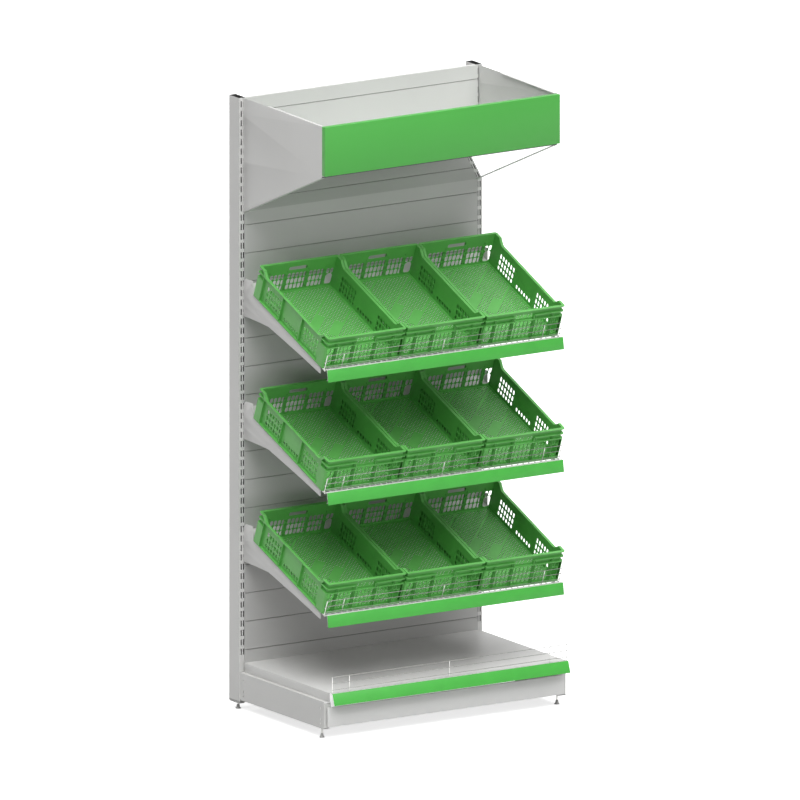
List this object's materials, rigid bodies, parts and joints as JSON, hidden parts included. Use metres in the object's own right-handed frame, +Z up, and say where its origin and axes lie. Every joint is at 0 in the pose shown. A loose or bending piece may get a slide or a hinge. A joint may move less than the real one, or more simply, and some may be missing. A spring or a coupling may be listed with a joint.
{
  "type": "produce display rack",
  "caption": "Free-standing single-bay rack with slotted uprights, sloping shelves of slatted produce crates, a base shelf and a canopy with a tilted mirror",
  "frame": {"origin": "on the floor, under the middle of the rack's overall box", "axes": "+Z up, -Y towards the shopper, +X to the right when facing the rack's front from the shopper's side"},
  "size_m": [1.286, 0.85, 2.8],
  "materials": {
    "paint": "fine textured light grey powder coat",
    "fascia_green": "smooth green powder coat",
    "strip_green": "smooth extruded strip",
    "crate_green": "moulded, satin",
    "bright_wire": "bright",
    "zinc": "zinc plated",
    "foot_plastic": "moulded, matt",
    "mirror": "clear"
  },
  "bodies": {
    "rack_frame": {"upright_left": "paint", "upright_right": "paint", "tie_rail_top": "paint", "tie_rail_bottom": "paint", "back_panels_1": "paint", "back_panels_2": "paint", "back_panels_3": "paint", "back_panels_4": "paint", "back_panels_5": "paint", "back_panels_6": "paint", "back_panels_7": "paint", "canopy_side_left": "paint", "canopy_side_right": "paint", "shelf_bracket_1_left": "paint", "shelf_bracket_1_right": "paint", "shelf_bracket_2_left": "paint", "shelf_bracket_2_right": "paint", "shelf_bracket_3_left": "paint", "shelf_bracket_3_right": "paint", "shelf_tray_1": "paint", "shelf_tray_2": "paint", "shelf_tray_3": "paint", "base_leg_left": "paint", "base_leg_right": "paint", "base_deck": "paint", "kick_panel": "paint", "upright_cap_left": "foot_plastic", "upright_cap_right": "foot_plastic", "canopy_fascia": "fascia_green", "canopy_mirror": "mirror", "ticket_strip_1": "strip_green", "ticket_strip_2": "strip_green", "ticket_strip_3": "strip_green", "base_ticket_strip": "strip_green", "wire_guard_1": "bright_wire", "wire_guard_2": "bright_wire", "wire_guard_3": "bright_wire", "base_wire_guard": "bright_wire"},
    "crate_1_1_body": {"crate_1_1": "crate_green"},
    "crate_1_2_body": {"crate_1_2": "crate_green"},
    "crate_1_3_body": {"crate_1_3": "crate_green"},
    "crate_2_1_body": {"crate_2_1": "crate_green"},
    "crate_2_2_body": {"crate_2_2": "crate_green"},
    "crate_2_3_body": {"crate_2_3": "crate_green"},
    "crate_3_1_body": {"crate_3_1": "crate_green"},
    "crate_3_2_body": {"crate_3_2": "crate_green"},
    "crate_3_3_body": {"crate_3_3": "crate_green"},
    "foot_front_left": {"foot_pad_front_left": "foot_plastic"},
    "stud_front_left": {"foot_stud_front_left": "zinc"},
    "foot_front_right": {"foot_pad_front_right": "foot_plastic"},
    "stud_front_right": {"foot_stud_front_right": "zinc"},
    "foot_rear_left": {"foot_pad_rear_left": "foot_plastic"},
    "stud_rear_left": {"foot_stud_rear_left": "zinc"},
    "foot_rear_right": {"foot_pad_rear_right": "foot_plastic"},
    "stud_rear_right": {"foot_stud_rear_right": "zinc"}
  },
  "joints": [
    {"name": "crate_1_1_lift", "type": "slide", "parent": "rack_frame", "child": "crate_1_1_body", "axis": [0, -0.3665, 0.9304], "range_m": [0, 0.12]},
    {"name": "crate_1_2_lift", "type": "slide", "parent": "rack_frame", "child": "crate_1_2_body", "axis": [0, -0.3665, 0.9304], "range_m": [0, 0.12]},
    {"name": "crate_1_3_lift", "type": "slide", "parent": "rack_frame", "child": "crate_1_3_body", "axis": [0, -0.3665, 0.9304], "range_m": [0, 0.12]},
    {"name": "crate_2_1_lift", "type": "slide", "parent": "rack_frame", "child": "crate_2_1_body", "axis": [0, -0.3665, 0.9304], "range_m": [0, 0.12]},
    {"name": "crate_2_2_lift", "type": "slide", "parent": "rack_frame", "child": "crate_2_2_body", "axis": [0, -0.3665, 0.9304], "range_m": [0, 0.12]},
    {"name": "crate_2_3_lift", "type": "slide", "parent": "rack_frame", "child": "crate_2_3_body", "axis": [0, -0.3665, 0.9304], "range_m": [0, 0.12]},
    {"name": "crate_3_1_lift", "type": "slide", "parent": "rack_frame", "child": "crate_3_1_body", "axis": [0, -0.3665, 0.9304], "range_m": [0, 0.12]},
    {"name": "crate_3_2_lift", "type": "slide", "parent": "rack_frame", "child": "crate_3_2_body", "axis": [0, -0.3665, 0.9304], "range_m": [0, 0.12]},
    {"name": "crate_3_3_lift", "type": "slide", "parent": "rack_frame", "child": "crate_3_3_body", "axis": [0, -0.3665, 0.9304], "range_m": [0, 0.12]},
    {"name": "foot_front_left_travel", "type": "slide", "parent": "rack_frame", "child": "foot_front_left", "axis": [0, 0, -1], "range_m": [0, 0.02]},
    {"name": "stud_front_left_turn", "type": "hinge", "parent": "foot_front_left", "child": "stud_front_left", "pos_m": [-0.6205, -0.316, 0.03], "axis": [0, 0, -1], "range_deg": [0, 4801]},
    {"name": "foot_front_right_travel", "type": "slide", "parent": "rack_frame", "child": "foot_front_right", "axis": [0, 0, -1], "range_m": [0, 0.02]},
    {"name": "stud_front_right_turn", "type": "hinge", "parent": "foot_front_right", "child": "stud_front_right", "pos_m": [0.6205, -0.316, 0.03], "axis": [0, 0, -1], "range_deg": [0, 4801]},
    {"name": "foot_rear_left_travel", "type": "slide", "parent": "rack_frame", "child": "foot_rear_left", "axis": [0, 0, -1], "range_m": [0, 0.02]},
    {"name": "stud_rear_left_turn", "type": "hinge", "parent": "foot_rear_left", "child": "stud_rear_left", "pos_m": [-0.625, 0.375, 0.03], "axis": [0, 0, -1], "range_deg": [0, 4801]},
    {"name": "foot_rear_right_travel", "type": "slide", "parent": "rack_frame", "child": "foot_rear_right", "axis": [0, 0, -1], "range_m": [0, 0.02]},
    {"name": "stud_rear_right_turn", "type": "hinge", "parent": "foot_rear_right", "child": "stud_rear_right", "pos_m": [0.625, 0.375, 0.03], "axis": [0, 0, -1], "range_deg": [0, 4801]}
  ],
  "couplings": [
    {"joint": "stud_front_left_turn", "follows": "foot_front_left_travel", "rad_per_m": 4188.8},
    {"joint": "stud_front_right_turn", "follows": "foot_front_right_travel", "rad_per_m": 4188.8},
    {"joint": "stud_rear_left_turn", "follows": "foot_rear_left_travel", "rad_per_m": 4188.8},
    {"joint": "stud_rear_right_turn", "follows": "foot_rear_right_travel", "rad_per_m": 4188.8}
  ]
}
